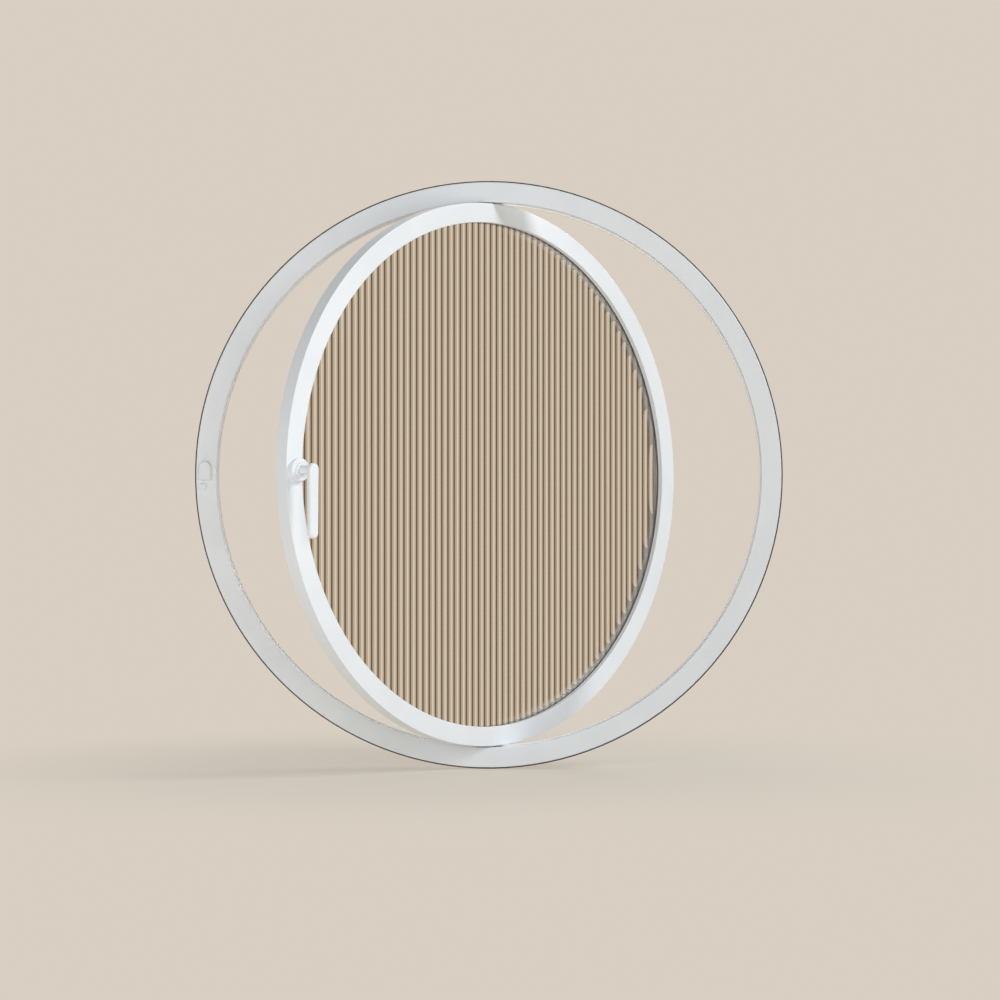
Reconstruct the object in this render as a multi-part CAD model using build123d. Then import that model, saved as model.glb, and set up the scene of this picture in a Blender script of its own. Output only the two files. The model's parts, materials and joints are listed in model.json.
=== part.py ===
from build123d import *
import os
from math import acos, asin, atan, cos, degrees, pi, radians, sin, sqrt, tan

# Round centre-pivot window: a hollow ring frame, and a round glazed sash that turns in it about a
# vertical axis. Millimetres, +Z up, +Y away from the side that the handle is on.
# The origin is the window's centre, on the pivot axis and in the sash's middle plane when closed.
# The sash, its lock and its handle are drawn closed, in the plane y = 0, and turned open at the end.

# Ring frame
FRAME_RADIUS = 500.0
FRAME_FACE = 34.0
FRAME_DEPTH = 48.0
FRAME_WALL = 2.5
EDGE_RADIUS = 1.2

# Sash ring
SASH_GAP = 2.5
SASH_FACE = 33.0
SASH_DEPTH = 28.0
SASH_WALL = 1.8
OPEN_ANGLE = 45.1

# Fluted glass and its seat
GLASS_THICKNESS = 8.0
GLASS_BITE = 9.5
GLASS_SETBACK = 9.5
FLUTE_PITCH = 14.4
FLUTE_DEPTH = 1.2
FRONT_GASKET = 1.3
REAR_GASKET = 2.0
GASKET_WIDTH = 6.0
GASKET_RECESS = 0.8
EDGE_SPACE = 2.5
LEG_BACK_WALL = 1.2
BEAD_WALL = 1.2
BEAD_FOOT = 1.0
BEAD_FOOT_WIDTH = 1.6
BEAD_FOOT_OFFSET = 1.5
BEAD_CLEARANCE = 0.1
SETTING_BLOCK_LENGTH = 60.0
SETTING_BLOCK_ANGLES = (60.0, 120.0, 240.0, 300.0)

# Seals
PERIMETER_LIP = 2.3
PERIMETER_WIDTH = 6.5
PERIMETER_INSET = 1.0
PERIMETER_FOOT = 1.2
PERIMETER_FOOT_WIDTH = 3.0
PILE_BASE_WIDTH = 4.0
PILE_BASE_HEIGHT = 1.6
PILE_WIDTH = 2.0
PILE_OFFSET = 1.0
PILE_SWEEP_CLEARANCE = 0.35

# Pivots
PIN_RADIUS = 4.0
PIN_RUNNING_FIT = 0.05
PIN_REACH = 14.0
PIN_THREAD_RADIUS = 6.0
PIN_THREAD_LENGTH = 14.0
PIN_THREAD_INSET = 2.0
PIN_SLOT_WIDTH = 1.6
PIN_SLOT_DEPTH = 2.5
PIN_HOLE_CLEARANCE = 0.1
PIN_CHAMFER = 0.8
PIN_ACCESS_CLEARANCE = 0.5
BUSH_RADIUS = 6.0
BUSH_END_SPACE = 0.5
WASHER_RADIUS = 8.0
WASHER_END_CLEARANCE = 0.3
SPOT_FACE_DEPTH = 0.15
SPOT_FACE_MARGIN = 0.3
FRAME_BLOCK_HEIGHT = 15.0
FRAME_BLOCK_WIDTH = 23.5
FRAME_BLOCK_LENGTH = 66.0
SASH_BLOCK_HEIGHT = 15.0
SASH_BLOCK_LENGTH = 58.0
BLOCK_SCREW_SPREAD = 21.0
BLOCK_SCREW_RADIUS = 2.5
BLOCK_SCREW_HEAD = 4.6
BLOCK_SCREW_LENGTH = 13.0
BLOCK_SCREW_RECESS = 0.1
STRAP_HOLE_RADIUS = 3.25
STRAP_HOLE_DEPTH = 22.0
STRAP_HOLES = 8

# Handle
HANDLE_SETBACK = 22.0
HANDLE_HEIGHT = 1.0
ROSETTE_RADIUS = 18.75
ROSETTE_HEIGHT = 9.5
ROSETTE_WALL = 1.4
ROSETTE_EDGE = 2.5
COLLAR_RADIUS = 11.0
COLLAR_HEIGHT = 3.0
COLLAR_EDGE = 1.2
NECK_RADIUS = 7.5
NECK_CLEARANCE = 0.3
NECK_SEAT_CLEARANCE = 0.1
JOURNAL_RADIUS = 6.5
JOURNAL_RUNNING_FIT = 0.05
JOURNAL_END_SPACE = 0.3
LEVER_OFFSET = 38.0
LEVER_ABOVE = 10.2
LEVER_BELOW = 109.3
LEVER_WIDTH = 19.0
LEVER_TIP_WIDTH = 17.8
LEVER_THICKNESS = 11.5
LEVER_TIP_THICKNESS = 10.6
LEVER_EDGE = 4.2
SPINDLE_SIDE = 7.0
SPINDLE_CORNER = 0.6
SPINDLE_FIT = 0.05
SPINDLE_IN_NECK = 22.0
SPINDLE_HOLE_RADIUS = 6.2
RING_THICKNESS = 1.0
RING_RADIUS = 8.0
RING_SEAT_CLEARANCE = 0.3
RING_GROOVE_DEPTH = 0.5
RING_GAP = 3.0
HANDLE_SCREW_SPREAD = 12.8
HANDLE_SCREW_RADIUS = 2.0
HANDLE_SCREW_HEAD = 3.6
HANDLE_SCREW_HEAD_HEIGHT = 1.8
SCREW_CLEARANCE = 0.3
GRUB_RADIUS = 2.0
GRUB_LENGTH = 3.0
GRUB_HEIGHT = 15.0

# Lock: a pinion on the spindle drives a rack cut in the bolt
MODULE = 0.8
PINION_TEETH = 17
PRESSURE_ANGLE = 20.0
DEDENDUM = 1.25
BACKLASH = 0.14
TURN = 90.0
COVER_PLATE = 1.0
LOCK_SPACE = 2.4
CASE_BACK = 1.7
LOCK_SIDE_CLEARANCE = 0.1
LAST_TOOTH_OFFSET = 1.0
RACK_TEETH = 6
CASE_END_SPACE = 0.3
CASE_CORNER = 1.5
BOLT_HEIGHT = 10.5
BOLT_GUIDE_CLEARANCE = 0.15
BOLT_TIP_INSET = 0.15
CASE_TOP_WALL = 3.3
CASE_BELOW = 17.0
PINION_JOURNAL = 5.6
PINION_RUNNING_FIT = 0.05
PINION_ROOM = 0.3
RIVET_RADIUS = 1.0
RIVET_INSET = 2.2

# Keeper on the frame's face, and the strike block behind it
KEEPER_SETBACK = 19.1
KEEPER_WIDTH = 20.6
KEEPER_ABOVE = 22.5
KEEPER_SHOULDER = 10.4
KEEPER_HEIGHT = 7.5
KEEPER_EDGE = 2.5
KEEPER_PLATE = 1.5
LOBE_SETBACK = 22.4
LOBE_WIDTH = 13.4
LOBE_TOP = 16.2
LOBE_FOOT = 28.0
LOBE_HEIGHT = 4.2
LOBE_EDGE = 1.5
KEEPER_SCREW_RADIUS = 2.0
KEEPER_SCREW_HEAD = 2.6
KEEPER_SCREW_HEAD_HEIGHT = 1.8
STRIKE_DEPTH = 8.0
STRIKE_REACH = 22.0
STRIKE_LENGTH = 52.0
STRIKE_CLEARANCE = 0.3
STRIKE_POCKET = 1.5

# How far a cut runs past the face that it opens
PAST = 1.0

# Sizes worked out from the ones above
frame_bore = FRAME_RADIUS - FRAME_FACE
frame_front = -SASH_DEPTH / 2
frame_back = frame_front + FRAME_DEPTH
sash_radius = frame_bore - SASH_GAP
daylight_radius = sash_radius - SASH_FACE
sash_front = -SASH_DEPTH / 2
sash_back = SASH_DEPTH / 2
sash_inside = sash_radius - SASH_WALL
glass_radius = daylight_radius + GLASS_BITE
glass_front = sash_front + GLASS_SETBACK
glass_back = glass_front + GLASS_THICKNESS
leg_back = glass_front - FRONT_GASKET
seat_radius = glass_radius + EDGE_SPACE
gasket_inner = daylight_radius + GASKET_RECESS
bead_front = glass_back + REAR_GASKET
bead_outer = seat_radius - BEAD_CLEARANCE
sweep_radius = sqrt(sash_radius ** 2 + (SASH_DEPTH / 2) ** 2)
pin_end = sash_radius - PIN_REACH
washer_thickness = SASH_GAP + 2 * SPOT_FACE_DEPTH - WASHER_END_CLEARANCE
pile_front = WASHER_RADIUS + PILE_OFFSET

handle_x = -(sash_radius - HANDLE_SETBACK)
lock_front = sash_front + SASH_WALL
cavity_front = lock_front + COVER_PLATE
cavity_back = cavity_front + LOCK_SPACE
lock_back = cavity_back + CASE_BACK
pitch_radius = MODULE * PINION_TEETH / 2
pinion_tip = pitch_radius + MODULE
pinion_root = pitch_radius - DEDENDUM * MODULE
tooth_pitch = pi * MODULE
bolt_throw = pitch_radius * radians(TURN)
rack_root = pitch_radius + DEDENDUM * MODULE
bolt_low = rack_root - MODULE
bolt_top = bolt_low + BOLT_HEIGHT
case_top = HANDLE_HEIGHT + bolt_top + CASE_TOP_WALL
case_outer = CASE_END_SPACE - sqrt(sash_inside ** 2 - case_top ** 2)
case_inner = -(daylight_radius + SASH_WALL + CASE_END_SPACE)
bolt_tip_x = -(sash_radius - BOLT_TIP_INSET)
last_tooth = case_inner - LAST_TOOTH_OFFSET

keeper_x = -(frame_bore + KEEPER_SETBACK)
keeper_top = HANDLE_HEIGHT + KEEPER_ABOVE
keeper_shoulder = HANDLE_HEIGHT - KEEPER_SHOULDER
lobe_x = -(frame_bore + LOBE_SETBACK)
lobe_top = HANDLE_HEIGHT - LOBE_TOP
lobe_foot = HANDLE_HEIGHT - LOBE_FOOT
keeper_screw_z = (keeper_shoulder + lobe_top) / 2


def box_between(low, high):
    size = [b - a for a, b in zip(low, high)]
    middle = [(a + b) / 2 for a, b in zip(low, high)]
    return Pos(*middle) * Box(*size)


def section(inner, outer, front, back):
    """A rectangle in the plane of radius and depth."""
    return Pos((inner + outer) / 2, (front + back) / 2) * Rectangle(outer - inner, back - front)


def section_polygon(points):
    return make_face(Polyline(*points, close=True))


def ring(face):
    return revolve(face, Axis.Y, 360)


def ring_sector(face, length, angle):
    """A stretch of ring, as long as given at its inner side, centred at an angle up from +X."""
    inner = face.bounding_box().min.X
    sweep = degrees(length / inner)
    return Rot(0, -angle - sweep / 2, 0) * revolve(face, Axis.Y, sweep)


def upright(radius, low, high):
    """A cylinder along Z, from the height low to the height high."""
    return Pos(0, 0, (low + high) / 2) * Cylinder(radius, high - low)


def crosswise(radius, x, z, front, back):
    """A cylinder along Y, from the depth front to the depth back."""
    return Pos(x, (front + back) / 2, z) * Rot(90, 0, 0) * Cylinder(radius, back - front)


def turned(points):
    """A solid of revolution about Z, from an outline's points as radius and height."""
    return revolve(Plane.XZ * section_polygon(points), Axis.Z, 360)


def facade(face, front, back):
    """Extrudes a face drawn in X and Z from the depth front to the depth back."""
    return extrude(Plane.XZ.offset(-back) * face, back - front, dir=(0, -1, 0))


def both_poles(shape):
    """A shape at the top pivot, and the same turned to the bottom one."""
    return shape, Rot(0, 180, 0) * shape


def rounded_corners(face, places):
    """Rounds the corners of a section that lie nearest to the places, given as radius and depth."""
    corners = [face.vertices().sort_by_distance(Vector(x, y, 0))[0] for x, y in places]
    return fillet(corners, EDGE_RADIUS)


# Ring frame

def outer_frame():
    outline = section(frame_bore, FRAME_RADIUS, frame_front, frame_back)
    outline = rounded_corners(outline, [(x, y) for x in (frame_bore, FRAME_RADIUS)
                                        for y in (frame_front, frame_back)])
    chamber = section(frame_bore + FRAME_WALL, FRAME_RADIUS - FRAME_WALL,
                      frame_front + FRAME_WALL, frame_back - FRAME_WALL)
    foot_front = frame_front + PERIMETER_INSET + (PERIMETER_WIDTH - PERIMETER_FOOT_WIDTH) / 2
    gasket_groove = section(FRAME_RADIUS - PERIMETER_FOOT, FRAME_RADIUS + PAST,
                            foot_front, foot_front + PERIMETER_FOOT_WIDTH)
    pile_groove = section(frame_bore - PAST, frame_bore + PILE_BASE_HEIGHT,
                          pile_front, pile_front + PILE_BASE_WIDTH)
    body = ring(outline - chamber - gasket_groove - pile_groove)
    body -= pivot_cuts()
    body -= strap_holes()
    body -= strike_slot()
    body -= crosswise(KEEPER_SCREW_RADIUS, lobe_x, keeper_screw_z,
                      frame_front - PAST, frame_front + FRAME_WALL + PAST)
    return body


def pivot_cuts():
    """At each pole: the pin's way through, the washer's flat, and the block's countersunk holes."""
    way = upright(PIN_RADIUS + PIN_HOLE_CLEARANCE, frame_bore - PAST, frame_bore + FRAME_WALL + PAST)
    way += upright(PIN_THREAD_RADIUS + PIN_ACCESS_CLEARANCE, FRAME_RADIUS - FRAME_WALL - PAST,
                   FRAME_RADIUS + PAST)
    way += upright(WASHER_RADIUS + SPOT_FACE_MARGIN, frame_bore - PAST, frame_bore + SPOT_FACE_DEPTH)
    for x in (-BLOCK_SCREW_SPREAD, BLOCK_SCREW_SPREAD):
        way += frame_block_screw(x)
        way += Pos(x, 0, 0) * upright(BLOCK_SCREW_HEAD, frame_bore - 2 * PAST, frame_screw_seat(x))
    top, bottom = both_poles(way)
    return top + bottom


def frame_screw_seat(x):
    """The height of a flat head that stands nowhere out of the curved bore."""
    return sqrt(frame_bore ** 2 - (abs(x) - BLOCK_SCREW_HEAD) ** 2) + BLOCK_SCREW_RECESS


def frame_block_screw(x):
    """A countersunk screw at the position x, that points up from the bore."""
    head_seat = frame_screw_seat(x)
    head_depth = BLOCK_SCREW_HEAD - BLOCK_SCREW_RADIUS
    tip = head_seat + BLOCK_SCREW_LENGTH
    return Pos(x, 0, 0) * turned([(0, head_seat), (BLOCK_SCREW_HEAD, head_seat),
                                  (BLOCK_SCREW_RADIUS, head_seat + head_depth),
                                  (BLOCK_SCREW_RADIUS, tip), (0, tip)])


def strap_holes():
    """Holes round the outer wall for the screws of installation straps."""
    hole = Pos(0, frame_front + STRAP_HOLE_DEPTH, 0) * upright(
        STRAP_HOLE_RADIUS, FRAME_RADIUS - FRAME_WALL - PAST, FRAME_RADIUS + PAST)
    step = 360 / STRAP_HOLES
    return [Rot(0, step * (i + 0.5), 0) * hole for i in range(STRAP_HOLES)]


def perimeter_gasket():
    front = frame_front + PERIMETER_INSET
    lip = section(FRAME_RADIUS, FRAME_RADIUS + PERIMETER_LIP, front, front + PERIMETER_WIDTH)
    lip = rounded_corners(lip, [(FRAME_RADIUS + PERIMETER_LIP, y)
                                for y in (front, front + PERIMETER_WIDTH)])
    foot_front = front + (PERIMETER_WIDTH - PERIMETER_FOOT_WIDTH) / 2
    foot = section(FRAME_RADIUS - PERIMETER_FOOT, FRAME_RADIUS, foot_front,
                   foot_front + PERIMETER_FOOT_WIDTH)
    return ring(lip + foot)


def pile_seal():
    base = section(frame_bore, frame_bore + PILE_BASE_HEIGHT, pile_front, pile_front + PILE_BASE_WIDTH)
    pile_edge = pile_front + (PILE_BASE_WIDTH - PILE_WIDTH) / 2
    pile = section(sweep_radius + PILE_SWEEP_CLEARANCE, frame_bore, pile_edge, pile_edge + PILE_WIDTH)
    return ring(base + pile)


# Keeper and strike

def arch(width, x, round_end, flat_end):
    """An outline as wide as given, fully round at one end and flat at the other."""
    up = 1 if round_end > flat_end else -1
    centre = round_end - up * width / 2
    straight = Pos(x, (centre + flat_end) / 2) * Rectangle(width, abs(centre - flat_end))
    cap = Pos(x, centre) * Circle(width / 2)
    beyond = Pos(x, flat_end - up * width / 2) * Rectangle(width, width)
    return straight + cap - beyond


def keeper():
    pad_outline = arch(KEEPER_WIDTH, keeper_x, keeper_top, keeper_shoulder)
    pad = facade(pad_outline, frame_front - KEEPER_HEIGHT, frame_front)
    pad = fillet(pad.faces().sort_by(Axis.Y)[0].edges(), KEEPER_EDGE)
    lobe_outline = arch(LOBE_WIDTH, lobe_x, lobe_foot, lobe_top)
    lobe = facade(lobe_outline, frame_front - LOBE_HEIGHT, frame_front)
    lobe = fillet(lobe.faces().sort_by(Axis.Y)[0].edges(), LOBE_EDGE)
    bridge = box_between((lobe_x - LOBE_WIDTH / 2, frame_front - KEEPER_PLATE, lobe_top - PAST),
                         (lobe_x + LOBE_WIDTH / 2, frame_front, keeper_shoulder + PAST))
    hole = crosswise(KEEPER_SCREW_RADIUS, lobe_x, keeper_screw_z, frame_front - KEEPER_HEIGHT,
                     frame_front)
    return pad + lobe + bridge - hole


def keeper_screw():
    seat = frame_front - KEEPER_PLATE
    head = crosswise(KEEPER_SCREW_HEAD, lobe_x, keeper_screw_z, seat - KEEPER_SCREW_HEAD_HEIGHT,
                     seat)
    socket = facade(Pos(lobe_x, keeper_screw_z) * RegularPolygon(KEEPER_SCREW_HEAD / 2, 6),
                    seat - KEEPER_SCREW_HEAD_HEIGHT, seat - KEEPER_SCREW_HEAD_HEIGHT / 3)
    shank = crosswise(KEEPER_SCREW_RADIUS, lobe_x, keeper_screw_z, seat,
                      frame_front + FRAME_WALL + STRIKE_DEPTH)
    return head + shank - socket


def strike_slot():
    """The room that the bolt needs beyond the sash's rim when the window is locked."""
    low = (bolt_tip_x - bolt_throw - STRIKE_POCKET, cavity_front + LOCK_SIDE_CLEARANCE - STRIKE_CLEARANCE,
           HANDLE_HEIGHT + bolt_low - STRIKE_CLEARANCE)
    high = (PAST - frame_bore, cavity_back - LOCK_SIDE_CLEARANCE + STRIKE_CLEARANCE,
            HANDLE_HEIGHT + bolt_top + STRIKE_CLEARANCE)
    return box_between(low, high)


def strike_block():
    inner = frame_bore + FRAME_WALL
    front = frame_front + FRAME_WALL
    body = ring_sector(section(inner, inner + STRIKE_REACH, front, front + STRIKE_DEPTH),
                       STRIKE_LENGTH, 180)
    screw_hole = crosswise(KEEPER_SCREW_RADIUS, lobe_x, keeper_screw_z, front - PAST,
                           front + STRIKE_DEPTH + PAST)
    return body - strike_slot() - screw_hole


# Pivots

def frame_pivot_block():
    inner = frame_bore + FRAME_WALL
    front = frame_front + FRAME_WALL
    body = ring_sector(section(inner, inner + FRAME_BLOCK_HEIGHT, front, front + FRAME_BLOCK_WIDTH),
                       FRAME_BLOCK_LENGTH, 90)
    body -= upright(PIN_THREAD_RADIUS, frame_bore, inner + FRAME_BLOCK_HEIGHT + PAST)
    for x in (-BLOCK_SCREW_SPREAD, BLOCK_SCREW_SPREAD):
        body -= frame_block_screw(x)
    return body


def pivot_pin():
    """A stepped pin: a threaded head in the frame's block, and a shank that reaches into the sash."""
    thread_low = frame_bore + FRAME_WALL + PIN_THREAD_INSET
    thread_high = thread_low + PIN_THREAD_LENGTH
    pin = upright(PIN_THREAD_RADIUS, thread_low, thread_high)
    pin += upright(PIN_RADIUS, pin_end, thread_low)
    pin = chamfer(pin.faces().sort_by(Axis.Z)[0].edges(), PIN_CHAMFER)
    slot = box_between((-PIN_THREAD_RADIUS, -PIN_SLOT_WIDTH / 2, thread_high - PIN_SLOT_DEPTH),
                       (PIN_THREAD_RADIUS, PIN_SLOT_WIDTH / 2, thread_high))
    return pin - slot


def frame_block_screws():
    pair = [frame_block_screw(x) for x in (-BLOCK_SCREW_SPREAD, BLOCK_SCREW_SPREAD)]
    return pair + [Rot(0, 180, 0) * screw for screw in pair]


def washer(low, high):
    return upright(WASHER_RADIUS, low, high) - upright(PIN_RADIUS + PIN_HOLE_CLEARANCE, low, high)


def bottom_washer():
    """It lies on the frame's flat and carries the sash."""
    seat = frame_bore + SPOT_FACE_DEPTH
    return Rot(0, 180, 0) * washer(seat - washer_thickness, seat)


def top_washer():
    """It lies on the sash's flat, and centres the sash below the frame."""
    seat = sash_radius - SPOT_FACE_DEPTH
    return washer(seat, seat + washer_thickness)


def sash_pivot_block():
    body = ring_sector(section(sash_inside - SASH_BLOCK_HEIGHT, sash_inside, lock_front,
                               sash_back - SASH_WALL), SASH_BLOCK_LENGTH, 90)
    body -= upright(BUSH_RADIUS, sash_inside - SASH_BLOCK_HEIGHT - PAST, sash_radius)
    for x in (-BLOCK_SCREW_SPREAD, BLOCK_SCREW_SPREAD):
        body -= sash_block_screw(x)
    return body


def sash_screw_seat(x):
    """The height of a flat head that stands nowhere out of the round rim."""
    return sqrt(sash_radius ** 2 - (abs(x) + BLOCK_SCREW_HEAD) ** 2) - BLOCK_SCREW_RECESS


def sash_block_screw(x):
    """A countersunk screw at the position x, that points down from the rim."""
    head_seat = sash_screw_seat(x)
    head_depth = BLOCK_SCREW_HEAD - BLOCK_SCREW_RADIUS
    tip = head_seat - BLOCK_SCREW_LENGTH
    return Pos(x, 0, 0) * turned([(0, head_seat), (BLOCK_SCREW_HEAD, head_seat),
                                  (BLOCK_SCREW_RADIUS, head_seat - head_depth),
                                  (BLOCK_SCREW_RADIUS, tip), (0, tip)])


def sash_block_screws():
    pair = [sash_block_screw(x) for x in (-BLOCK_SCREW_SPREAD, BLOCK_SCREW_SPREAD)]
    return pair + [Rot(0, 180, 0) * screw for screw in pair]


def pivot_bush():
    low = pin_end - BUSH_END_SPACE
    high = sash_radius - SPOT_FACE_DEPTH
    return upright(BUSH_RADIUS, low, high) - upright(PIN_RADIUS + PIN_RUNNING_FIT, low, high)


# Sash and glazing

def bead_groove_depths():
    front = bead_front + BEAD_FOOT_OFFSET
    return front, front + BEAD_FOOT_WIDTH


def sash_frame():
    outline = section_polygon([(daylight_radius, sash_front), (sash_radius, sash_front),
                               (sash_radius, sash_back), (seat_radius, sash_back),
                               (seat_radius, leg_back), (daylight_radius, leg_back)])
    outline = rounded_corners(outline, [(daylight_radius, sash_front), (sash_radius, sash_front),
                                        (sash_radius, sash_back)])
    leg_chamber_back = leg_back - LEG_BACK_WALL
    chamber = section_polygon([(daylight_radius + SASH_WALL, lock_front), (sash_inside, lock_front),
                               (sash_inside, sash_back - SASH_WALL),
                               (seat_radius + SASH_WALL, sash_back - SASH_WALL),
                               (seat_radius + SASH_WALL, leg_chamber_back),
                               (daylight_radius + SASH_WALL, leg_chamber_back)])
    foot_front, foot_back = bead_groove_depths()
    groove = section(seat_radius - PAST, seat_radius + BEAD_FOOT, foot_front, foot_back)
    body = ring(outline - chamber - groove)
    body -= sash_pivot_cuts()
    body -= bolt_hole()
    body -= crosswise(SPINDLE_HOLE_RADIUS, handle_x, HANDLE_HEIGHT, sash_front - PAST,
                      lock_front + PAST)
    for z in handle_screw_heights():
        body -= crosswise(HANDLE_SCREW_RADIUS + SCREW_CLEARANCE, handle_x, z, sash_front - PAST,
                          lock_front + PAST)
    return body


def sash_pivot_cuts():
    """At each pole: the bush's hole, the washer's flat, and the block's countersunk holes."""
    cut = upright(BUSH_RADIUS, sash_inside - PAST, sash_radius + PAST)
    cut += upright(WASHER_RADIUS + SPOT_FACE_MARGIN, sash_radius - SPOT_FACE_DEPTH, sash_radius + PAST)
    for x in (-BLOCK_SCREW_SPREAD, BLOCK_SCREW_SPREAD):
        cut += sash_block_screw(x)
        cut += Pos(x, 0, 0) * upright(BLOCK_SCREW_HEAD, sash_screw_seat(x), sash_radius + PAST)
    top, bottom = both_poles(cut)
    return top + bottom


def bolt_hole():
    """The slot in the rim that the bolt comes out of."""
    return box_between((-sash_radius - PAST, cavity_front, HANDLE_HEIGHT + bolt_low - BOLT_GUIDE_CLEARANCE),
                       (PAST - sash_inside, cavity_back, HANDLE_HEIGHT + bolt_top + BOLT_GUIDE_CLEARANCE))


def glass_pane():
    """One pane: convex vertical flutes on the front, with a valley on the centre line, and a flat back."""
    count = int(glass_radius / FLUTE_PITCH) + 1
    valley = glass_front + FLUTE_DEPTH
    edges = []
    for i in range(-count, count):
        start = (i * FLUTE_PITCH, valley)
        crest = ((i + 0.5) * FLUTE_PITCH, glass_front)
        end = ((i + 1) * FLUTE_PITCH, valley)
        edges.append(ThreePointArc(start, crest, end))
    side = count * FLUTE_PITCH
    edges.append(Polyline((side, valley), (side, glass_back), (-side, glass_back), (-side, valley)))
    slab = extrude(make_face(Curve() + edges), glass_radius + PAST, both=True)
    disc = Pos(0, (glass_front + glass_back) / 2, 0) * Rot(90, 0, 0) * Cylinder(
        glass_radius, 2 * GLASS_THICKNESS)
    return slab & disc


def front_glazing_gasket():
    return ring(section(gasket_inner, gasket_inner + GASKET_WIDTH, leg_back, glass_front))


def rear_glazing_gasket():
    return ring(section(gasket_inner, gasket_inner + GASKET_WIDTH, glass_back, bead_front))


def glazing_bead():
    outline = section(daylight_radius, bead_outer, bead_front, sash_back)
    outline = rounded_corners(outline, [(daylight_radius, sash_back)])
    chamber = section(daylight_radius + BEAD_WALL, bead_outer - BEAD_WALL, bead_front + BEAD_WALL,
                      sash_back - BEAD_WALL)
    foot_front, foot_back = bead_groove_depths()
    foot = section(bead_outer, seat_radius + BEAD_FOOT - BEAD_CLEARANCE, foot_front + BEAD_CLEARANCE,
                   foot_back - BEAD_CLEARANCE)
    return ring(outline - chamber + foot)


def setting_blocks():
    face = section(glass_radius, seat_radius, glass_front + FLUTE_DEPTH, glass_back)
    return [ring_sector(face, SETTING_BLOCK_LENGTH, angle) for angle in SETTING_BLOCK_ANGLES]


# Handle

def handle_screw_heights():
    return HANDLE_HEIGHT - HANDLE_SCREW_SPREAD, HANDLE_HEIGHT + HANDLE_SCREW_SPREAD


def on_handle_axis(shape):
    """Takes a shape drawn along Z, with its base at z = 0, and stands it on the sash's face."""
    return Pos(handle_x, sash_front, HANDLE_HEIGHT) * Rot(90, 0, 0) * shape


def handle_cover():
    """The round rosette: a turned cup with a collar round the neck."""
    cup = upright(ROSETTE_RADIUS, 0, ROSETTE_HEIGHT)
    cup = fillet(cup.faces().sort_by(Axis.Z)[-1].edges(), ROSETTE_EDGE)
    collar = upright(COLLAR_RADIUS, ROSETTE_HEIGHT, ROSETTE_HEIGHT + COLLAR_HEIGHT)
    collar = fillet(collar.faces().sort_by(Axis.Z)[-1].edges(), COLLAR_EDGE)
    inside = upright(ROSETTE_RADIUS - ROSETTE_WALL, 0, ROSETTE_HEIGHT - ROSETTE_WALL)
    bore = upright(NECK_RADIUS + NECK_CLEARANCE, 0, ROSETTE_HEIGHT + COLLAR_HEIGHT)
    return on_handle_axis(cup + collar - inside - bore)


def handle_base():
    """The screwed-down plate inside the rosette, with the neck's bearing in its middle."""
    height = ROSETTE_HEIGHT - ROSETTE_WALL
    plate = upright(ROSETTE_RADIUS - ROSETTE_WALL, 0, height)
    plate -= upright(JOURNAL_RADIUS + JOURNAL_RUNNING_FIT, 0, height)
    plate -= upright(RING_RADIUS + RING_SEAT_CLEARANCE, 0, ring_seat_height())
    for y in (-HANDLE_SCREW_SPREAD, HANDLE_SCREW_SPREAD):
        plate -= Pos(0, y, 0) * handle_screw_solid(SCREW_CLEARANCE)
    return on_handle_axis(plate)


def ring_seat_height():
    return JOURNAL_END_SPACE + 2 * RING_THICKNESS + RING_SEAT_CLEARANCE


def handle_screw_solid(clearance=0.0):
    """A countersunk screw along Z, from its head at the plate's top down into the lock case."""
    top = ROSETTE_HEIGHT - ROSETTE_WALL
    head = Pos(0, 0, top - HANDLE_SCREW_HEAD_HEIGHT / 2) * Cone(
        HANDLE_SCREW_RADIUS, HANDLE_SCREW_HEAD, HANDLE_SCREW_HEAD_HEIGHT)
    shank = upright(HANDLE_SCREW_RADIUS + clearance, sash_front - lock_back,
                    top - HANDLE_SCREW_HEAD_HEIGHT)
    return head + shank


def handle_screws():
    return [on_handle_axis(Pos(0, y, 0) * handle_screw_solid())
            for y in (-HANDLE_SCREW_SPREAD, HANDLE_SCREW_SPREAD)]


def lever_blade():
    """The tapered, round-ended grip, drawn in X and Y with the handle's axis at the origin."""
    top_radius = LEVER_WIDTH / 2
    tip_radius = LEVER_TIP_WIDTH / 2
    top_centre = LEVER_ABOVE - top_radius
    tip_centre = tip_radius - LEVER_BELOW
    span = top_centre - tip_centre
    lean = asin((top_radius - tip_radius) / span)
    corner = [(top_radius * cos(lean), top_centre + top_radius * sin(-lean)),
              (tip_radius * cos(lean), tip_centre + tip_radius * sin(-lean))]
    edges = [ThreePointArc((-corner[0][0], corner[0][1]), (0, LEVER_ABOVE), corner[0]),
             Line(corner[0], corner[1]),
             ThreePointArc(corner[1], (0, -LEVER_BELOW), (-corner[1][0], corner[1][1])),
             Line((-corner[1][0], corner[1][1]), (-corner[0][0], corner[0][1]))]
    blade = extrude(make_face(Curve() + edges), LEVER_THICKNESS / 2, both=True)
    tilt = degrees(atan((LEVER_THICKNESS - LEVER_TIP_THICKNESS) / 2 / (LEVER_ABOVE + LEVER_BELOW)))
    for side in (1, -1):
        trim = Pos(0, LEVER_ABOVE, side * LEVER_THICKNESS / 2) * Rot(side * tilt, 0, 0) * Pos(
            0, 0, side * LEVER_THICKNESS) * Box(4 * LEVER_WIDTH, 4 * LEVER_BELOW, 2 * LEVER_THICKNESS)
        blade -= trim
    flats = [f.edges() for f in blade.faces().sort_by(Axis.Z)[:1] + blade.faces().sort_by(Axis.Z)[-1:]]
    return fillet([edge for group in flats for edge in group], LEVER_EDGE)


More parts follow.
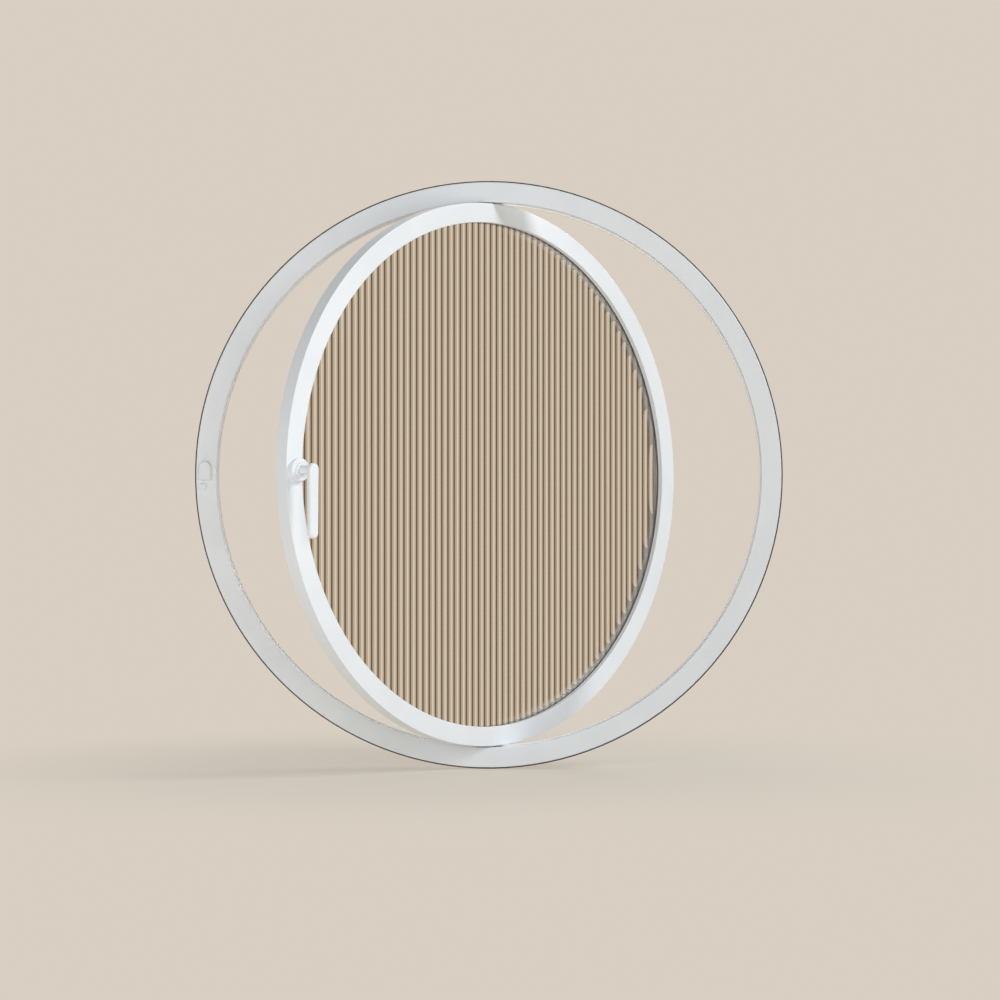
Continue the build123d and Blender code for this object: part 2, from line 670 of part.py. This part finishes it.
def lever():
    """Blade, neck and bearing journal in one casting, with a square socket for the spindle."""
    blade = Pos(0, 0, LEVER_OFFSET) * lever_blade()
    neck_low = ROSETTE_HEIGHT - ROSETTE_WALL + NECK_SEAT_CLEARANCE
    neck = upright(NECK_RADIUS, neck_low, LEVER_OFFSET)
    journal = upright(JOURNAL_RADIUS, JOURNAL_END_SPACE, neck_low)
    journal -= retaining_groove()
    socket_side = SPINDLE_SIDE + 2 * SPINDLE_FIT
    socket = Pos(0, 0, SPINDLE_IN_NECK / 2) * Box(socket_side, socket_side, SPINDLE_IN_NECK)
    body = blade + neck + journal - socket - grub_solid(GRUB_RADIUS, NECK_RADIUS)
    return on_handle_axis(body)


def retaining_groove():
    low = JOURNAL_END_SPACE + RING_THICKNESS
    outer = upright(JOURNAL_RADIUS + PAST, low, low + RING_THICKNESS)
    return outer - upright(JOURNAL_RADIUS - RING_GROOVE_DEPTH, low, low + RING_THICKNESS)


def lever_retaining_ring():
    """The snap ring that keeps the journal in the base, open by a small gap."""
    low = JOURNAL_END_SPACE + RING_THICKNESS
    body = upright(RING_RADIUS, low, low + RING_THICKNESS)
    body -= upright(JOURNAL_RADIUS - RING_GROOVE_DEPTH, low, low + RING_THICKNESS)
    gap = box_between((0, -RING_GAP / 2, low), (RING_RADIUS + PAST, RING_GAP / 2, low + RING_THICKNESS))
    return on_handle_axis(body - gap)


def grub_solid(radius, outer_end):
    """A grub screw's cylinder on the underside of the neck, from the spindle's flat outwards."""
    inner_end = SPINDLE_SIDE / 2 + SPINDLE_FIT
    length = outer_end - inner_end
    return Pos(0, -inner_end - length / 2, GRUB_HEIGHT) * Rot(90, 0, 0) * Cylinder(radius, length)


def spindle():
    low = sash_front - lock_back + LOCK_SIDE_CLEARANCE
    bar = Pos(0, 0, (low + SPINDLE_IN_NECK) / 2) * Box(SPINDLE_SIDE, SPINDLE_SIDE, SPINDLE_IN_NECK - low)
    bar = chamfer(bar.edges().filter_by(Axis.Z), SPINDLE_CORNER)
    return on_handle_axis(bar)


# Lock

def involute_point(base, reach):
    """A point of the involute at a radius, as radius and angle from the involute's start."""
    turn = acos(base / reach)
    return reach, tan(turn) - turn


def polar(radius, angle):
    return radius * cos(angle), radius * sin(angle)


def pinion_outline():
    """A full involute outline, with a gap towards the rack's nearest tooth space."""
    base = pitch_radius * cos(radians(PRESSURE_ANGLE))
    half_tooth = (tooth_pitch / 2 - BACKLASH / 2) / 2 / pitch_radius
    half_at_base = half_tooth + involute_point(base, pitch_radius)[1]
    step = 2 * pi / PINION_TEETH
    reaches = [base + (pinion_tip - base) * i / 4 for i in range(5)]
    tooth_angle = pi / 2 - (rack_phase() / pitch_radius) + step / 2
    edges = []
    for i in range(PINION_TEETH):
        middle = tooth_angle + i * step
        flank = [(r, half_at_base - a) for r, a in (involute_point(base, reach) for reach in reaches)]
        right = [polar(r, middle - a) for r, a in flank]
        left = [polar(r, middle + a) for r, a in reversed(flank)]
        next_right = polar(pinion_root, middle + step - half_at_base)
        edges.append(Line(polar(pinion_root, middle - half_at_base), right[0]))
        edges.append(Spline(*right))
        edges.append(ThreePointArc(right[-1], polar(pinion_tip, middle), left[0]))
        edges.append(Spline(*left))
        edges.append(Line(left[-1], polar(pinion_root, middle + half_at_base)))
        edges.append(ThreePointArc(polar(pinion_root, middle + half_at_base),
                                   polar(pinion_root, middle + step / 2), next_right))
    return make_face(Curve() + edges)


def rack_phase():
    """How far the rack tooth next to the spindle stands to its right, at rest."""
    offset = last_tooth - handle_x
    return offset - tooth_pitch * round(offset / tooth_pitch)


def lock_pinion():
    side = SPINDLE_SIDE + 2 * SPINDLE_FIT
    at_handle = Pos(handle_x, HANDLE_HEIGHT)
    gear = facade(at_handle * pinion_outline(), cavity_front + LOCK_SIDE_CLEARANCE,
                  cavity_back - LOCK_SIDE_CLEARANCE)
    journals = crosswise(PINION_JOURNAL, handle_x, HANDLE_HEIGHT, lock_front + LOCK_SIDE_CLEARANCE,
                         lock_back)
    square = facade(at_handle * Rectangle(side, side), lock_front - PAST, lock_back + PAST)
    return gear + journals - square


def bolt_outline():
    """A flat bar with a rack on its lower edge, and its end cut to the rim's curve."""
    half_pitch_line = (tooth_pitch / 2 - BACKLASH / 2) / 2
    spread = MODULE * tan(radians(PRESSURE_ANGLE))
    root_spread = DEDENDUM * MODULE * tan(radians(PRESSURE_ANGLE))
    points = [(bolt_tip_x, bolt_top), (bolt_tip_x, bolt_low)]
    first = last_tooth - (RACK_TEETH - 1) * tooth_pitch
    points.append((first - tooth_pitch, bolt_low))
    points.append((first - tooth_pitch, rack_root))
    for i in range(RACK_TEETH):
        middle = first + i * tooth_pitch
        points.append((middle - half_pitch_line - root_spread, rack_root))
        points.append((middle - half_pitch_line + spread, pitch_radius - MODULE))
        points.append((middle + half_pitch_line - spread, pitch_radius - MODULE))
        points.append((middle + half_pitch_line + root_spread, rack_root))
    tail = case_inner
    points += [(tail, rack_root), (tail, bolt_top)]
    inside_rim = Pos(0, -HANDLE_HEIGHT) * Circle(-bolt_tip_x)
    return make_face(Polyline(*points, close=True)) & inside_rim


def lock_bolt():
    """The bar, with a fork at its tail that passes the upper screw."""
    bar = facade(Pos(0, HANDLE_HEIGHT) * bolt_outline(), cavity_front + LOCK_SIDE_CLEARANCE,
                 cavity_back - LOCK_SIDE_CLEARANCE)
    slot_radius = HANDLE_SCREW_RADIUS + SCREW_CLEARANCE
    fork = crosswise(slot_radius, handle_x, handle_screw_heights()[1], lock_front, lock_back)
    fork += box_between((handle_x, lock_front, handle_screw_heights()[1] - slot_radius),
                        (case_inner + PAST, lock_back, handle_screw_heights()[1] + slot_radius))
    return bar - fork


def case_outline():
    case_low = HANDLE_HEIGHT - CASE_BELOW
    middle = Pos((case_outer + case_inner) / 2, (case_low + case_top) / 2)
    return middle * RectangleRounded(case_inner - case_outer, case_top - case_low, CASE_CORNER)


def rivet_places():
    top = case_top - CASE_TOP_WALL / 2
    low = HANDLE_HEIGHT - CASE_BELOW + RIVET_INSET
    return [(x, z) for x in (case_outer + RIVET_INSET, case_inner - RIVET_INSET) for z in (top, low)]


def lock_case():
    """A shallow cast tray with room for the pinion and a channel for the bolt."""
    body = facade(case_outline(), cavity_front, lock_back)
    room = crosswise(pinion_tip + PINION_ROOM, handle_x, HANDLE_HEIGHT, cavity_front - PAST, cavity_back)
    channel_low = HANDLE_HEIGHT + pitch_radius - MODULE - BOLT_GUIDE_CLEARANCE
    channel_top = HANDLE_HEIGHT + bolt_top + BOLT_GUIDE_CLEARANCE
    channel = box_between((case_outer - PAST, cavity_front - PAST, channel_low),
                          (case_inner + PAST, cavity_back, channel_top))
    body = body - room - channel
    body -= crosswise(PINION_JOURNAL + PINION_RUNNING_FIT, handle_x, HANDLE_HEIGHT, cavity_back - PAST,
                      lock_back + PAST)
    for z in handle_screw_heights():
        body -= crosswise(HANDLE_SCREW_RADIUS, handle_x, z, cavity_front - PAST, lock_back + PAST)
    for x, z in rivet_places():
        body -= crosswise(RIVET_RADIUS, x, z, cavity_front - PAST, lock_back + PAST)
    return body


def lock_cover():
    body = facade(case_outline(), lock_front, cavity_front)
    body -= crosswise(PINION_JOURNAL + PINION_RUNNING_FIT, handle_x, HANDLE_HEIGHT, lock_front - PAST,
                      cavity_front + PAST)
    for z in handle_screw_heights():
        body -= crosswise(HANDLE_SCREW_RADIUS + SCREW_CLEARANCE, handle_x, z, lock_front - PAST,
                          cavity_front + PAST)
    for x, z in rivet_places():
        body -= crosswise(RIVET_RADIUS, x, z, lock_front - PAST, cavity_front + PAST)
    return body


def lock_rivets():
    return [crosswise(RIVET_RADIUS, x, z, lock_front, lock_back) for x, z in rivet_places()]


def write(node, shape, angle=0.0):
    solids = list(shape) if isinstance(shape, (list, tuple)) else [shape]
    placed = [Rot(0, 0, angle) * solid for solid in solids]
    export_step(placed[0] if len(placed) == 1 else Compound(children=placed), f"parts/{node}.step")


def main():
    os.makedirs("parts", exist_ok=True)
    top_block, bottom_block = both_poles(frame_pivot_block())
    top_pin, bottom_pin = both_poles(pivot_pin())
    top_sash_block, bottom_sash_block = both_poles(sash_pivot_block())
    top_bush, bottom_bush = both_poles(pivot_bush())
    fixed = {
        "outer_frame": outer_frame(),
        "perimeter_gasket": perimeter_gasket(),
        "pile_seal": pile_seal(),
        "keeper": keeper(),
        "keeper_screw": keeper_screw(),
        "strike_block": strike_block(),
        "top_pivot_block": top_block,
        "bottom_pivot_block": bottom_block,
        "top_pivot_pin": top_pin,
        "bottom_pivot_pin": bottom_pin,
        "pivot_block_screws": frame_block_screws(),
        "bottom_thrust_washer": bottom_washer(),
    }
    turning = {
        "sash_frame": sash_frame(),
        "glass_pane": glass_pane(),
        "front_glazing_gasket": front_glazing_gasket(),
        "rear_glazing_gasket": rear_glazing_gasket(),
        "glazing_bead": glazing_bead(),
        "setting_blocks": setting_blocks(),
        "top_sash_block": top_sash_block,
        "bottom_sash_block": bottom_sash_block,
        "sash_block_screws": sash_block_screws(),
        "top_pivot_bush": top_bush,
        "bottom_pivot_bush": bottom_bush,
        "top_thrust_washer": top_washer(),
        "lock_case": lock_case(),
        "lock_cover": lock_cover(),
        "lock_rivets": lock_rivets(),
        "handle_base": handle_base(),
        "handle_cover": handle_cover(),
        "handle_screws": handle_screws(),
        "lever": lever(),
        "lever_retaining_ring": lever_retaining_ring(),
        "lever_grub_screw": on_handle_axis(grub_solid(GRUB_RADIUS, SPINDLE_SIDE / 2 + GRUB_LENGTH)),
        "spindle": spindle(),
        "lock_pinion": lock_pinion(),
        "lock_bolt": lock_bolt(),
    }
    for node, shape in fixed.items():
        write(node, shape)
    for node, shape in turning.items():
        write(node, shape, OPEN_ANGLE)


main()
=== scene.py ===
import json
from math import asin, pi, radians, sqrt

import bmesh
import bpy
from mathutils import Matrix, Vector


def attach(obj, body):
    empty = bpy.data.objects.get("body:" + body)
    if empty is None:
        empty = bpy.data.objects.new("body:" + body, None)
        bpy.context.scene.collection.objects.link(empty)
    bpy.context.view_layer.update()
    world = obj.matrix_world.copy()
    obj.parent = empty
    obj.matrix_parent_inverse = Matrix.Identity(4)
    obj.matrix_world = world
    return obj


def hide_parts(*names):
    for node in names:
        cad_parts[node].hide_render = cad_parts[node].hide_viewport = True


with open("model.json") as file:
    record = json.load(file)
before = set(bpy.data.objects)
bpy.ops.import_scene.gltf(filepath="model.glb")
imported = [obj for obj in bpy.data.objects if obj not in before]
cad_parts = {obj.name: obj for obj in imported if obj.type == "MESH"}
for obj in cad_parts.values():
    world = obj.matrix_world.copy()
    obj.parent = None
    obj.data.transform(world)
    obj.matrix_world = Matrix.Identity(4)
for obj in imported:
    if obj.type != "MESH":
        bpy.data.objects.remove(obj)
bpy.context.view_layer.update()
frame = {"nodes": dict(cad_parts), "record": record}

# Sizes in metres, and the angle that the sash stands open by
OPEN = radians(45.1)
FLUTE_PITCH = 0.0144
FLUTE_DEPTH = 0.0012
FLUTE_STEPS = 14
GLASS_RADIUS = 0.440
GLASS_FRONT = -0.0045
GLASS_BACK = 0.0035
FLOOR_HEIGHT = -0.5030
FLOOR_HALF_WIDTH = 20

# The pane's outline stops just inside its edge, so that its ends have a height
LAST_POINT = 0.99999

# Edges that bend less than this are shaded smooth, and points closer than this are one point
SMOOTH_BELOW = radians(28)
MERGE = 2e-6

# Powder coat and the glass's ground edge, as display colours
COAT = (239, 243, 247)
COAT_CLOUD = (235, 239, 243)
GROUND_EDGE = (225, 226, 224)

# Painted shade and light across one flute from valley to valley, as linear colours: painted shade
# dark at the valleys, painted highlights cream and tan between them, in place of the room seen
# through the flutes
CLEAR = (1, 1, 1, 1)
VALLEY_PAINTED_SHADE = (0.029, 0.015, 0.007, 1)
FLUTE_PAINTED_LIGHT_AND_SHADE = [(0.00, VALLEY_PAINTED_SHADE), (0.10, VALLEY_PAINTED_SHADE),
               (0.15, (0.44, 0.325, 0.195, 1)), (0.36, (0.48, 0.355, 0.225, 1)),
               (0.42, (1.0, 0.94, 0.84, 1)), (0.58, (0.98, 0.90, 0.78, 1)),
               (0.64, (0.69, 0.52, 0.42, 1)), (0.84, (0.59, 0.445, 0.315, 1)),
               (0.88, VALLEY_PAINTED_SHADE), (1.00, VALLEY_PAINTED_SHADE)]

# Where the painted shade and light of the flutes begin and end, in metres in the closed sash's own
# directions
PAINTED_BANDS_DEPTH = (-0.003, -0.001)
GROUND_FROM = (0.4388, 0.4394)
FADE_OUTWARD = (0.414, 0.430)
FADE_SIDEWAYS = (0.0, 0.25)
FADE_MOST = 0.85

# The bolt's end in the sash's rim: its distances from the centre and half its height, soft-edged
BOLT_END_INNER = (0.4618, 0.4622)
BOLT_END_OUTER = (0.4650, 0.4655)
BOLT_END_HALF_HEIGHT = (0.030, 0.032)

# Pale backdrop and floor, as display colours
BACKDROP = (216, 207, 194)
FLOOR = (216, 209, 198)

# The sky's dim light and the lamps' white, as linear colours
AMBIENT_WHITE = (0.95, 0.98, 1.0, 1)
AMBIENT = 0.15
LAMP_WHITE = (0.93, 0.97, 1.0)

# Distances between which the floor runs out into the backdrop, and the backdrop's least share
FLOOR_RUNS_OUT = (0.25, 1.2)
FLOOR_LEAST = 0.5

# Each lamp's name, place, target, width and power
LAMPS = [
    ("side", (9.0, -2.2, 6.0), (0, 0, 0), 3.4, 690),
    ("key", (0.0, -1.6, 0.15), (0, 0, 0), 0.8, 5.2),
    ("low", (-1.4, -2.2, 0.0), (0, 0, 0), 0.9, 12),
    ("behind", (2.6, 2.2, 2.0), (0, 0, 0), 1.4, 38),
    ("top", (0, 1.0, 2.4), (0, 0.3, -0.5), 1.6, 14),
]

# Camera, fitted to the photo's frame circle and sash ellipse, with its lens in millimetres
EYE_PLACE = (0.0395, -4.416, -0.096)
EYE_SENSOR = 36
EYE_LENS = 92.77
EYE_SHIFT_X = -0.012
EYE_SHIFT_Y = 0.031
EYE_REACH = 100


def display(red, green, blue):
    """A display colour, 0 to 255, as the linear colour that a socket takes."""
    linear = [(c / 255 / 12.92) if c / 255 <= 0.04045 else ((c / 255 + 0.055) / 1.055) ** 2.4
              for c in (red, green, blue)]
    return (*linear, 1.0)


def darker(colour, share):
    """A share of a display colour, as a linear colour."""
    return display(*[c * share for c in colour])


class Level:
    """A number that varies over a surface. Arithmetic on it adds Math nodes."""

    def __init__(self, finish, socket):
        self.finish = finish
        self.socket = socket

    def math(self, operation, *others):
        values = [other.socket if isinstance(other, Level) else other for other in others]
        made = self.finish.node("ShaderNodeMath", {"operation": operation},
                                dict(enumerate([self.socket, *values])))
        return Level(self.finish, made.outputs[0])

    def __add__(self, other):
        return self.math("ADD", other)

    def __sub__(self, other):
        return self.math("SUBTRACT", other)

    def __rsub__(self, other):
        return self * -1 + other

    def __mul__(self, other):
        return self.math("MULTIPLY", other)

    def __truediv__(self, other):
        return self.math("DIVIDE", other)

    __radd__ = __add__
    __rmul__ = __mul__

    def smooth(self, low, high):
        """0 below low, 1 above high, and an even curve between them."""
        made = self.finish.node("ShaderNodeMapRange", {"interpolation_type": "SMOOTHSTEP"},
                                {"Value": self.socket, "From Min": low, "From Max": high})
        return Level(self.finish, made.outputs["Result"])


class Finish:
    """A material, or the world, and the nodes that make it."""

    def __init__(self, owner):
        owner.use_nodes = True
        self.owner = owner
        self.tree = owner.node_tree
        self.tree.nodes.clear()

    def node(self, kind, settings=None, sockets=None):
        """Adds a node. Its settings come first, then each socket's value or what feeds it."""
        made = self.tree.nodes.new(kind)
        for name, value in (settings or {}).items():
            if name == "stops":
                stops = made.color_ramp.elements
                while len(stops) < len(value):
                    stops.new(1.0)
                for stop, (position, colour) in zip(stops, value):
                    stop.position = position
                    stop.color = colour
            else:
                setattr(made, name, value)
        for name, value in (sockets or {}).items():
            if isinstance(value, Level):
                value = value.socket
            if isinstance(value, bpy.types.NodeSocket):
                self.tree.links.new(value, made.inputs[name])
            else:
                made.inputs[name].default_value = value
        return made

    def place(self, turn=0.0):
        """Object coordinates, turned about the upright axis."""
        coordinates = self.node("ShaderNodeTexCoord").outputs["Object"]
        if turn == 0.0:
            return coordinates
        return self.node("ShaderNodeMapping", {}, {"Vector": coordinates,
                                                   "Rotation": (0, 0, turn)}).outputs["Vector"]

    def axes(self, turn=0.0):
        """The three coordinates one by one, turned about the upright axis."""
        parts = self.node("ShaderNodeSeparateXYZ", {}, {"Vector": self.place(turn)})
        return [Level(self, parts.outputs[axis]) for axis in "XYZ"]

    def distance(self):
        """How far a point lies from the window's centre."""
        made = self.node("ShaderNodeVectorMath", {"operation": "LENGTH"}, {0: self.place()})
        return Level(self, made.outputs["Value"])

    def noise(self, scale, detail=2.0, roughness=0.5):
        made = self.node("ShaderNodeTexNoise", {}, {"Vector": self.place(), "Scale": scale,
                                                    "Detail": detail, "Roughness": roughness})
        return Level(self, made.outputs["Fac"])

    def blend(self, factor, first, second):
        """A colour between two colours. The mix node keeps its colours in sockets 6 and 7."""
        made = self.node("ShaderNodeMix", {"data_type": "RGBA"},
                         {"Factor": factor, 6: first, 7: second})
        return made.outputs[2]

    def bump(self, height, strength, distance):
        made = self.node("ShaderNodeBump", {}, {"Height": height, "Strength": strength,
                                                "Distance": distance})
        return made.outputs["Normal"]

    def output(self, shader, kind="ShaderNodeOutputMaterial"):
        self.node(kind, {}, {"Surface": shader})
        return self.owner

    def surface(self, sockets):
        return self.output(self.node("ShaderNodeBsdfPrincipled", {}, sockets).outputs["BSDF"])

    def mixed(self, factor, first, second):
        """A shader between two shader nodes."""
        made = self.node("ShaderNodeMixShader", {},
                         {0: factor, 1: first.outputs[0], 2: second.outputs[0]})
        return made.outputs["Shader"]


def material(name):
    return Finish(bpy.data.materials.new(name))


def white_powder_coat():
    """Satin white powder coat, with the fine orange peel that such a coat has."""
    coat = material("white_powder_coat")
    peel = coat.noise(scale=650)
    cloud = coat.noise(scale=9, detail=3.0)
    return coat.surface({"Base Color": coat.blend(cloud.smooth(0.35, 0.65),
                                                  display(*COAT), display(*COAT_CLOUD)),
                         "Roughness": 0.34 + cloud * 0.08,
                         "Normal": coat.bump(peel, strength=0.03, distance=0.00003)})


def fluted_glass():
    """Clear glass whose flutes have painted shade, dark at the valleys, and painted light, cream and
    tan, between them. The round edge is ground, so it is pale and matt. On the side away from the
    handle the painted shade and light fade near the edge, where the pale rear gasket is what shows
    through."""
    glass = material("fluted_glass")
    across, depth, height = glass.axes(-OPEN)
    radius = (across * across + height * height).math("SQRT")
    phase = (across / FLUTE_PITCH).math("FRACT")
    # Painted shade at each flute's valley and painted highlights between, carried in the glass's
    # colour
    painted_bands = glass.node("ShaderNodeValToRGB", {"stops": FLUTE_PAINTED_LIGHT_AND_SHADE}, {"Fac": phase}).outputs["Color"]
    fade = radius.smooth(*FADE_OUTWARD) * across.smooth(*FADE_SIDEWAYS) * FADE_MOST
    front = (1 - depth.smooth(*PAINTED_BANDS_DEPTH)) * (1 - fade)
    with_painted_bands = glass.blend(front, CLEAR, painted_bands)
    ground = radius.smooth(*GROUND_FROM)
    return glass.surface({"Base Color": glass.blend(ground, with_painted_bands, display(*GROUND_EDGE)),
                          "Roughness": 0.02 + glass.noise(scale=60) * 0.02 + ground * 0.6,
                          "Transmission Weight": 1.0, "IOR": 1.5})


def rubber(name, colour, roughness):
    strip = material(name)
    grain = strip.noise(scale=1500)
    return strip.surface({"Base Color": strip.blend(strip.noise(scale=40),
                                                    display(*colour), darker(colour, 0.9)),
                          "Roughness": roughness + grain * 0.1,
                          "Normal": strip.bump(grain, strength=0.2, distance=0.00005)})


def pile_strip():
    pile = material("pile")
    hair = pile.noise(scale=3000, roughness=0.8)
    return pile.surface({"Base Color": pile.blend(hair, display(238, 238, 236),
                                                  display(250, 250, 248)),
                         "Roughness": 0.85, "Sheen Weight": 0.3,
                         "Normal": pile.bump(hair, strength=0.2, distance=0.0001)})


def metal(name, colour, roughness, grain):
    part = material(name)
    streak = part.noise(scale=grain, detail=3.0, roughness=0.6)
    return part.surface({"Base Color": part.blend(streak, display(*colour), darker(colour, 0.93)),
                         "Metallic": 1.0, "Roughness": roughness + streak * 0.12,
                         "Normal": part.bump(streak, strength=0.1, distance=0.00005)})


def steel():
    """Zinc-plated steel. The bolt's end, which shows in the sash's rim, is coated like the rim."""
    part = material("steel")
    streak = part.noise(scale=700, detail=3.0, roughness=0.6)
    radius = part.distance()
    height = part.axes()[2].math("ABSOLUTE")
    bolt_end = (radius.smooth(*BOLT_END_INNER) * (1 - radius.smooth(*BOLT_END_OUTER))
                * (1 - height.smooth(*BOLT_END_HALF_HEIGHT)))
    bare = part.blend(streak, display(190, 191, 192), display(177, 178, 179))
    return part.surface({"Base Color": part.blend(bolt_end, bare, display(*COAT)),
                         "Metallic": 1 - bolt_end,
                         "Roughness": 0.28 + streak * 0.12 + bolt_end * 0.05,
                         "Normal": part.bump(streak, strength=0.1, distance=0.00005)})


def plastic(name, colour, roughness):
    part = material(name)
    fine = part.noise(scale=1200)
    return part.surface({"Base Color": part.blend(part.noise(scale=60),
                                                  display(*colour), darker(colour, 0.96)),
                         "Roughness": roughness + fine * 0.08,
                         "Normal": part.bump(fine, strength=0.1, distance=0.00005)})


finishes = {
    "white_coat": white_powder_coat(),
    "fluted_glass": fluted_glass(),
    "black_rubber": rubber("black_rubber", (70, 70, 70), roughness=0.6),
    "grey_rubber": rubber("grey_rubber", (218, 218, 215), roughness=0.55),
    "pile": pile_strip(),
    "block_plastic": plastic("block_plastic", (96, 100, 104), roughness=0.5),
    "bearing_plastic": plastic("bearing_plastic", (228, 228, 222), roughness=0.4),
    "plain_aluminium": metal("plain_aluminium", (205, 206, 208), roughness=0.35, grain=300),
    "cast_zinc": metal("cast_zinc", (170, 172, 175), roughness=0.45, grain=500),
    "steel": steel(),
}
record = frame["record"]
slots = {entry["node"]: entry["material_slot"] for entry in record["subparts"]}
bodies = {node: body for body, nodes in record["behaviour"]["bodies"].items() for node in nodes}


def placed(name, data):
    """A new object of some data, in the scene."""
    made = bpy.data.objects.new(name, data)
    bpy.context.scene.collection.objects.link(made)
    return made


def mesh_object(name, shape, finish):
    """A new object of a finished bmesh, which is used up."""
    mesh = bpy.data.meshes.new(name)
    shape.to_mesh(mesh)
    shape.free()
    mesh.materials.append(finish)
    return placed(name, mesh)


def piece(name, shape, body, slot, *replaced):
    """A piece of the window, which rides on a body and stands for its CAD nodes."""
    made = mesh_object(name, shape, finishes[slot])
    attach(made, body)
    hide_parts(*replaced)
    return made


def shade(shape):
    """Smooth faces, with an edge kept sharp where its faces meet at a real corner."""
    for face in shape.faces:
        face.smooth = True
    for edge in shape.edges:
        edge.smooth = len(edge.link_faces) == 2 and edge.calc_face_angle(pi) < SMOOTH_BELOW


def level_normals(made):
    """The large faces set the shading, so a flat face stays flat up to its rounded edge."""
    weighted = made.modifiers.new("level_normals", "WEIGHTED_NORMAL")
    weighted.keep_sharp = True
    weighted.weight = 50


def finished_copy(node):
    """The CAD node's own form, merged, with its curved faces shaded smooth."""
    shape = bmesh.new()
    shape.from_mesh(frame["nodes"][node].data)
    bmesh.ops.remove_doubles(shape, verts=shape.verts, dist=MERGE)
    shade(shape)
    level_normals(piece(node + "_finished", shape, bodies[node], slots[node], node))


def points(geometry):
    """The points among what an operator made."""
    return [item for item in geometry if isinstance(item, bmesh.types.BMVert)]


def flute_front():
    """The front face's outline: convex arcs side by side, a valley on the centre line."""
    shape = bmesh.new()
    half = FLUTE_PITCH / 2
    arc_radius = (half ** 2 + FLUTE_DEPTH ** 2) / 2 / FLUTE_DEPTH
    start = shape.verts.new((0, GLASS_FRONT + FLUTE_DEPTH, 0))
    bmesh.ops.spin(shape, geom=[start], cent=(half, GLASS_FRONT + arc_radius, 0), axis=(0, 0, 1),
                   angle=2 * asin(half / arc_radius), steps=FLUTE_STEPS)
    first = list(shape.verts) + list(shape.edges)
    count = int(GLASS_RADIUS / FLUTE_PITCH) + 1
    for i in range(-count, count):
        if i:
            again = bmesh.ops.duplicate(shape, geom=first)["geom"]
            bmesh.ops.translate(shape, vec=(i * FLUTE_PITCH, 0, 0), verts=points(again))
    bmesh.ops.remove_doubles(shape, verts=shape.verts, dist=MERGE)
    return shape


def fluted_pane():
    """The pane: the front's outline drawn up and down to the round edge, with a flat back."""
    shape = flute_front()
    beyond = [v for v in shape.verts if abs(v.co.x) > GLASS_RADIUS]
    bmesh.ops.delete(shape, geom=beyond, context="VERTS")
    min(shape.verts, key=lambda v: v.co.x).co.x = -GLASS_RADIUS * LAST_POINT
    max(shape.verts, key=lambda v: v.co.x).co.x = GLASS_RADIUS * LAST_POINT
    upper = set(points(bmesh.ops.extrude_edge_only(shape, edges=list(shape.edges))["geom"]))
    for v in shape.verts:
        height = sqrt(max(GLASS_RADIUS ** 2 - v.co.x ** 2, 0.0))
        v.co.z = height if v in upper else -height
    front = list(shape.faces) + list(shape.edges) + list(shape.verts)
    back = bmesh.ops.extrude_face_region(shape, geom=front, use_keep_orig=True)["geom"]
    for v in points(back):
        v.co.y = GLASS_BACK
    bmesh.ops.recalc_face_normals(shape, faces=shape.faces)
    bmesh.ops.rotate(shape, cent=(0, 0, 0), matrix=Matrix.Rotation(OPEN, 3, "Z"),
                     verts=shape.verts)
    shade(shape)
    piece("fluted_pane", shape, "sash", "fluted_glass", "glass_pane")


def studio():
    """A pale backdrop for what is seen, mirrored or seen through glass, and a dim one for light."""
    world = bpy.data.worlds.new("studio")
    bpy.context.scene.world = world
    sky = Finish(world)
    path = sky.node("ShaderNodeLightPath")
    seen, mirrored, through = [Level(sky, path.outputs[ray]) for ray in
                               ("Is Camera Ray", "Is Glossy Ray", "Is Transmission Ray")]
    ambient = sky.node("ShaderNodeBackground", {}, {"Color": AMBIENT_WHITE, "Strength": AMBIENT})
    backdrop = sky.node("ShaderNodeBackground", {}, {"Color": display(*BACKDROP), "Strength": 1.0})
    sky.output(sky.mixed(seen.math("MAXIMUM", mirrored).math("MAXIMUM", through),
                         ambient, backdrop), "ShaderNodeOutputWorld")


def floor():
    """A floor that keeps the window's shadow and runs out into the backdrop."""
    paint = material("floor")
    lit = paint.node("ShaderNodeBsdfDiffuse", {}, {"Color": display(*FLOOR)})
    far = paint.node("ShaderNodeEmission", {}, {"Color": display(*BACKDROP), "Strength": 1.0})
    away = paint.distance().smooth(*FLOOR_RUNS_OUT) * (1 - FLOOR_LEAST) + FLOOR_LEAST
    paint.output(paint.mixed(away, lit, far))
    shape = bmesh.new()
    bmesh.ops.create_grid(shape, x_segments=1, y_segments=1, size=FLOOR_HALF_WIDTH)
    bmesh.ops.translate(shape, vec=(0, 0, FLOOR_HEIGHT), verts=shape.verts)
    ground = mesh_object("floor", shape, paint.owner)


def lamp(name, place, target, size, power):
    """A square lamp that gives light and highlights and isn't seen itself."""
    light = bpy.data.lights.new(name, "AREA")
    light.shape = "SQUARE"
    light.size = size
    light.energy = power
    light.color = LAMP_WHITE
    made = placed(name, light)
    made.location = place
    made.rotation_euler = (Vector(target) - Vector(place)).to_track_quat("-Z", "Y").to_euler()
    made.visible_camera = False
    made.visible_transmission = False


def camera():
    eye = bpy.data.cameras.new("camera")
    eye.sensor_width = EYE_SENSOR
    eye.lens = EYE_LENS
    eye.shift_x = EYE_SHIFT_X
    eye.shift_y = EYE_SHIFT_Y
    eye.clip_end = EYE_REACH
    made = placed("camera", eye)
    made.location = EYE_PLACE
    made.rotation_euler = (pi / 2, 0, 0)
    bpy.context.scene.camera = made


for node in sorted(frame["nodes"]):
    if node != "glass_pane":
        finished_copy(node)
fluted_pane()
studio()
floor()
for settings in LAMPS:
    lamp(*settings)
camera()
bpy.context.scene.view_settings.view_transform = "Standard"
